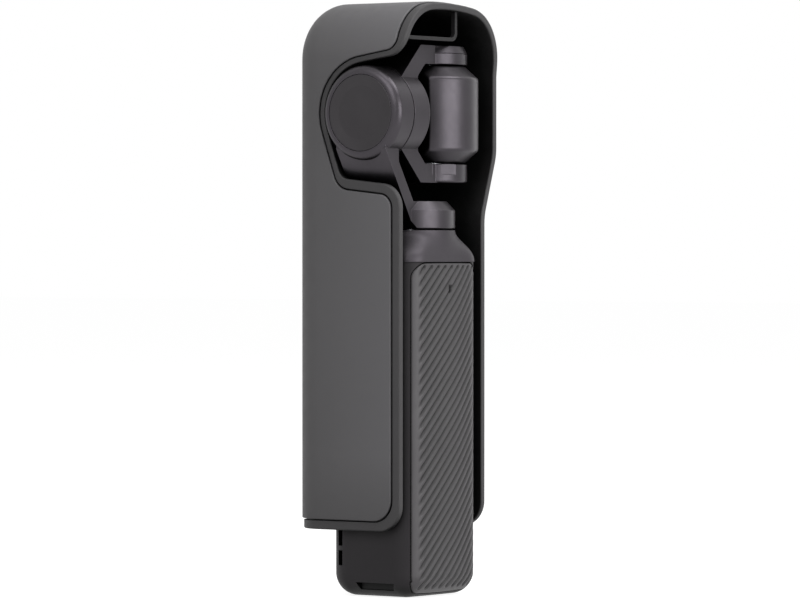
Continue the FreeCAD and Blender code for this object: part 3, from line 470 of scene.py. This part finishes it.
def meshFromGrid(name, points, shade):
    # points is rows x columns x 3, and each row closes on its first point
    rows, columns = points.shape[:2]
    index = np.arange(rows * columns).reshape(rows, columns)
    index = np.hstack([index, index[:, :1]])
    corners = (index[:-1, :-1], index[:-1, 1:], index[1:, 1:], index[1:, :-1])
    quads = np.stack(corners, axis=-1).reshape(-1, 4)
    mesh = bpy.data.meshes.new(name)
    mesh.from_pydata(points.reshape(-1, 3).tolist(), [], quads.tolist())
    # the valley attribute carries the painted shade
    mesh.attributes.new("valley", "FLOAT", "POINT").data.foreach_set("value", shade.ravel())
    shape = bmesh.new()
    shape.from_mesh(mesh)
    bmesh.ops.remove_doubles(shape, verts=shape.verts, dist=1e-7)
    bmesh.ops.dissolve_degenerate(shape, edges=shape.edges, dist=1e-8)
    bmesh.ops.recalc_face_normals(shape, faces=shape.faces)
    shape.to_mesh(mesh)
    shape.free()
    mesh.polygons.foreach_set("use_smooth", np.ones(len(mesh.polygons), dtype=bool))
    obj = bpy.data.objects.new(name, mesh)
    bpy.context.scene.collection.objects.link(obj)
    return obj


def makeRibbedBack():
    # grid lines follow the ribs, and each line closes round the plate's thickness
    box = [np.array(corner, dtype=float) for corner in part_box("grip_plate")]
    reach = ribs["halfWidth"]
    level, nearEnd, farEnd = lineEnds(np.linspace(-reach, reach + box[1][2], ribs["lines"]), box)
    share = 0.5 - 0.5 * np.cos(np.pi * np.linspace(0, 1, ribs["steps"]))
    x = nearEnd[:, None] + (farEnd - nearEnd)[:, None] * share[None, :]
    z = level[:, None] - x
    valley = valleyShare(x, z, box)
    slot = slotShare(x, z, box)
    y = backSurface(x, z) - ribs["valleyDepth"] * valley - ribs["slotDepth"] * slot
    inside = plateMargin(x, z, box)
    edge = ribs["edgeRound"]
    margin = np.clip(inside, 0, edge)
    y = y - edge + np.sqrt(edge ** 2 - (edge - margin) ** 2)
    front = np.stack([x, y, z], axis=-1)
    sides = front[:, [-1, 0]].copy()
    sides[:, :, 1] = rearPlane(sides[:, :, 2])
    # painted shade: darkest in the valleys, the slot and along the outline's seam, and full on
    # the hidden sides
    seam = np.clip(1 - inside / ribs["edgeShade"], 0, 1)
    shade = np.maximum(np.maximum(valley ** ribs["shadePower"], slot), seam)
    shade = np.concatenate([shade, np.ones((len(level), 2))], axis=1)
    plate = meshFromGrid("ribbedBack", np.concatenate([front, sides], axis=1), shade)
    plate.data.materials.append(surfaceFinish("gripPlastic", gripLook))
    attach(plate, "handle")
    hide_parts("grip_plate")


makeRibbedBack()
print("handle dressed, ribbed back made")


# screen and controls

glassLook = {
    "dark": colour(6, 6, 8),
    "light": colour(10, 10, 13),
    "rough": (0.04, 0.08),
    "specular": 0.5,
    "coat": 1.0,
    "coatRough": 0.03,
    "cloudScale": 30.0,
    "smearScale": 60.0,
    "depth": 0.000002,
}
screenFrameLook = dict(handleLook, dark=colour(30), light=colour(34))
controlLook = dict(
    handleLook,
    dark=colour(38, 37, 39),
    light=colour(43, 42, 44),
    wornAndLitEdge=colour(64, 62, 65),
)
recordLook = dict(
    handleLook,
    dark=colour(62, 60, 62),
    light=colour(67, 65, 67),
    rough=(0.34, 0.42),
)
ringLook = dict(
    handleLook,
    dark=colour(150, 24, 28),
    light=colour(160, 30, 32),
    wornAndLitEdge=colour(176, 50, 50),
)
lampLook = dict(
    glassLook,
    dark=colour(52, 90, 60),
    light=colour(60, 104, 70),
    rough=(0.2, 0.3),
)


def dressControls():
    dress(surfaceFinish("screenGlass", glassLook), "screen_glass", "screen_panel")
    dress(surfaceFinish("screenFramePlastic", screenFrameLook), "screen_frame")
    dress(surfaceFinish("controlPlastic", controlLook), "stick_cap")
    dress(surfaceFinish("recordPlastic", recordLook), "record_button")
    dress(surfaceFinish("recordRing", ringLook), "record_ring")
    dress(surfaceFinish("statusLens", lampLook), "status_led")


dressControls()
print("screen and controls dressed")


# lens

lensRingLook = dict(gimbalLook, dark=colour(40), light=colour(46), rough=(0.28, 0.36))
lensLook = dict(glassLook, dark=colour(8, 7, 14), light=colour(14, 10, 22), cloudScale=120.0)
barrelLook = dict(handleLook, dark=colour(16), light=colour(20), rough=(0.5, 0.6))
frontGlassLook = {
    "dark": colour(226, 236, 250),
    "light": colour(240, 232, 252),
    "rough": (0.0, 0.04),
    "cloudScale": 150.0,
    "smearScale": 500.0,
    "grainScale": 900.0,
    "grainStrength": 0.2,
    "depth": 0.000001,
    "transmission": 0.85,
    "ior": 1.5,
    "coat": 0.6,
    "coatTint": colour(190, 200, 255),
}


def clearGlass(name):
    # clear coated glass, whose tint and smoothness vary a little
    look = frontGlassLook
    mat, tree, shader = freshMaterial(name)
    place = objectPlace(tree)
    clouds = spread(tree, noiseFac(tree, place, look["cloudScale"], 3.0, 300), 0.0, 1.0, 300)
    tint = blendTones(tree, clouds, look["dark"], look["light"], 300)
    grain = noiseFac(tree, place, look["grainScale"], 2.0, -300)
    finishShader(tree, shader, place, look, tint, grain)
    shader.inputs["Transmission Weight"].default_value = look["transmission"]
    shader.inputs["IOR"].default_value = look["ior"]
    shader.inputs["Coat Weight"].default_value = look["coat"]
    shader.inputs["Coat Tint"].default_value = look["coatTint"]
    return mat


def dressLens():
    dress(surfaceFinish("lensRingMetal", lensRingLook), "lens_ring")
    dress(clearGlass("lensFrontGlass"), "lens_glass")
    dress(surfaceFinish("lensCoatedGlass", lensLook), "lens_elements")
    dress(surfaceFinish("barrelBlack", barrelLook), "lens_barrel")


dressLens()
print("lens dressed")


# inner parts

steelLook = {
    "dark": colour(150, 150, 154),
    "light": colour(172, 172, 176),
    "rough": (0.25, 0.36),
    "metallic": 1.0,
    "specular": 0.5,
    "stretch": (1, 1, 9),
    "grainScale": 2400.0,
    "depth": 0.000008,
}
innerPlasticLook = dict(handleLook, dark=colour(36), light=colour(42))
cellLook = dict(
    steelLook,
    dark=colour(120, 124, 132),
    light=colour(136, 140, 148),
    rough=(0.4, 0.55),
    metallic=0.7,
)
chipLook = dict(
    handleLook,
    dark=colour(20),
    light=colour(26),
    rough=(0.35, 0.5),
    grainScale=1800.0,
)
windingLook = {
    "dark": colour(96, 48, 26),
    "light": colour(196, 116, 66),
    "rough": (0.28, 0.42),
    "turnScale": 900.0,
    "distortion": 1.5,
    "smearScale": 700.0,
    "grainStrength": 0.6,
    "depth": 0.00005,
    "metallic": 0.85,
}
boardLook = {
    "dark": colour(16, 46, 36),
    "light": colour(34, 82, 60),
    "rough": (0.32, 0.46),
    "cellScale": 700.0,
    "trackEdge": (0.32, 0.4),
    "smearScale": 600.0,
    "grainStrength": 0.5,
    "depth": 0.00003,
}


def windingFinish(name):
    # wound copper: fine turns as a banded wave, darker between the turns
    look = windingLook
    mat, tree, shader = freshMaterial(name)
    place = objectPlace(tree)
    turns = addNode(tree, "ShaderNodeTexWave", (-1050, 200), Scale=look["turnScale"], Detail=2.0)
    turns.inputs["Distortion"].default_value = look["distortion"]
    turns.inputs["Detail Scale"].default_value = 2.0
    tree.links.new(place, turns.inputs["Vector"])
    tint = blendTones(tree, turns.outputs["Fac"], look["dark"], look["light"], 300)
    finishShader(tree, shader, place, look, tint, turns.outputs["Fac"])
    shader.inputs["Metallic"].default_value = look["metallic"]
    return mat


def boardFinish(name):
    # solder mask with raised copper tracks between the cells of an angular pattern
    look = boardLook
    mat, tree, shader = freshMaterial(name)
    place = objectPlace(tree)
    cells = addNode(tree, "ShaderNodeTexVoronoi", (-1050, 200), Scale=look["cellScale"])
    cells.distance = "MANHATTAN"
    tree.links.new(place, cells.inputs["Vector"])
    track = spread(tree, cells.outputs["Distance"], 0.0, 1.0, 200, *look["trackEdge"])
    tint = blendTones(tree, track, look["dark"], look["light"], 300)
    finishShader(tree, shader, place, look, tint, track)
    return mat


def dressInside():
    steel = surfaceFinish("turnedSteel", steelLook)
    dress(steel, "housing_screws", "usb_port", "card_socket", "heat_spreader", "tilt_pin")
    dress(steel, "pan_bearings", "roll_bearings", "tilt_bearings", "head_bearing")
    dress(steel, "pan_post", "roll_post", "tilt_post")
    dress(steel, "pan_rotor", "roll_rotor", "tilt_rotor", "screen_pivot", "screen_bearing")
    dress(windingFinish("motorWinding"), "pan_stator", "roll_stator", "tilt_stator")
    dress(boardFinish("circuitBoard"), "main_board", "port_board", "sensor_board")
    resin = surfaceFinish("chipResin", chipLook)
    dress(resin, "board_chips", "microphones", "record_switch", "memory_card")
    dress(surfaceFinish("cellWrap", cellLook), "battery_cells")
    plastic = surfaceFinish("innerPlastic", innerPlasticLook)
    dress(plastic, "battery_tray", "speaker", "stick_base", "stick_cradle", "stick_stem")


dressInside()
undressed = [name for name in nodes if not nodes[name].data.materials]
print("inner parts dressed, left over:", undressed)


# floor, lights and camera

studio = {
    "worldOnObject": 0.3,      # how much the white surroundings light matt surfaces
    "floorGlow": 0.88,         # how bright the floor looks to the camera and in reflections
    "floorTone": 165,
    "floorHalf": 6,
    "floorLevel": -0.0002,     # just under the base
    "keyEnergy": 5.0,
    "tallEnergy": 6.0,
    "overEnergy": 4.6,
    "topEnergy": 2.2,
    "rimEnergy": 0.6,
    "lightDistance": 1.0,
    "lightTarget": (0, 0, 0.08),
    "cameraDistance": 1.26,
    "pixelsPerMm": 3.93,
    "cameraAzimuth": 126.0,
    "eyeRow": 250,             # picture row that is level with the camera
    "axisColumn": 405,         # picture column of the handle's middle
    "baseRow": 594,            # picture row of the base
    "pictureSize": (800, 600),
    "sensorWidth": 36.0,       # millimetres
}


def shownRays(tree, spot):
    # 1 on camera, glossy and transmission rays
    path = addNode(tree, "ShaderNodeLightPath", spot)
    first = addNode(tree, "ShaderNodeMath", (spot[0] + 200, spot[1]), operation="MAXIMUM")
    second = addNode(tree, "ShaderNodeMath", (spot[0] + 400, spot[1]), operation="MAXIMUM")
    tree.links.new(path.outputs["Is Camera Ray"], first.inputs[0])
    tree.links.new(path.outputs["Is Glossy Ray"], first.inputs[1])
    tree.links.new(first.outputs[0], second.inputs[0])
    tree.links.new(path.outputs["Is Transmission Ray"], second.inputs[1])
    return second.outputs[0]


def makeWorld():
    world = bpy.data.worlds.new("studioWorld")
    bpy.context.scene.world = world
    world.use_nodes = True
    tree = world.node_tree
    shown = shownRays(tree, (-1200, 200))
    strength = spread(tree, shown, studio["worldOnObject"], 1.0, 200, 0.0, 1.0)
    background = tree.nodes["Background"]
    background.inputs["Color"].default_value = (1, 1, 1, 1)
    tree.links.new(strength, background.inputs["Strength"])


def makeFloor():
    mesh = bpy.data.meshes.new("floor")
    half, level = studio["floorHalf"], studio["floorLevel"]
    corners = [(-half, -half), (half, -half), (half, half), (-half, half)]
    mesh.from_pydata([(x, y, level) for x, y in corners], [], [(0, 1, 2, 3)])
    floor = bpy.data.objects.new("floor", mesh)
    bpy.context.scene.collection.objects.link(floor)
    mat, tree, shader = freshMaterial("floorPale")
    shader.inputs["Base Color"].default_value = colour(studio["floorTone"])
    shader.inputs["Roughness"].default_value = 0.9
    shader.inputs["Specular IOR Level"].default_value = 0.0
    shader.inputs["Emission Color"].default_value = (1, 1, 1, 1)
    shown = shownRays(tree, (-1200, 200))
    glow = spread(tree, shown, 0.0, studio["floorGlow"], 200, 0.0, 1.0)
    tree.links.new(glow, shader.inputs["Emission Strength"])
    mesh.materials.append(mat)


def areaLight(name, azimuth, rise, size, energy):
    # azimuth is counted from -Y towards +X, as the camera's is
    turn = math.radians(azimuth)
    lift = math.radians(rise)
    way = Vector((math.sin(turn), -math.cos(turn), 0)) * math.cos(lift)
    way.z = math.sin(lift)
    data = bpy.data.lights.new(name, "AREA")
    data.shape = "RECTANGLE"
    data.size, data.size_y = size
    data.energy = energy
    obj = bpy.data.objects.new(name, data)
    obj.location = Vector(studio["lightTarget"]) + way * studio["lightDistance"]
    obj.rotation_euler = (-way).to_track_quat("-Z", "Y").to_euler()
    bpy.context.scene.collection.objects.link(obj)


def makeCamera():
    # the aim is the picture's middle, and the eye stands level with its own row
    azimuth = math.radians(studio["cameraAzimuth"])
    toCamera = np.array([math.sin(azimuth), -math.cos(azimuth), 0.0])
    rightWay = np.array([math.cos(azimuth), math.sin(azimuth), 0.0])
    perPixel = 0.001 / studio["pixelsPerMm"]
    width, height = studio["pictureSize"]
    aim = rightWay * (width / 2 - studio["axisColumn"]) * perPixel
    aim[2] = (studio["baseRow"] - height / 2) * perPixel
    eye = aim + toCamera * studio["cameraDistance"]
    eye[2] = (studio["baseRow"] - studio["eyeRow"]) * perPixel
    data = bpy.data.cameras.new("photoCamera")
    data.sensor_width = studio["sensorWidth"]
    data.lens = studio["cameraDistance"] / perPixel * studio["sensorWidth"] / width
    data.clip_start = 0.01
    cam = bpy.data.objects.new("photoCamera", data)
    cam.location = eye
    cam.rotation_euler = (Vector(aim) - Vector(eye)).to_track_quat("-Z", "Y").to_euler()
    bpy.context.scene.collection.objects.link(cam)
    bpy.context.scene.camera = cam


makeWorld()
makeFloor()
areaLight("keyLight", 100, 35, (0.8, 0.6), studio["keyEnergy"])
areaLight("tallLight", 182, 8, (0.7, 0.55), studio["tallEnergy"])
areaLight("overLight", 212, 56, (0.5, 0.4), studio["overEnergy"])
areaLight("topLight", 140, 72, (0.5, 0.5), studio["topEnergy"])
areaLight("rimLight", 262, 10, (0.3, 0.9), studio["rimEnergy"])
makeCamera()
bpy.context.scene.view_settings.view_transform = "Standard"
print("studio ready")
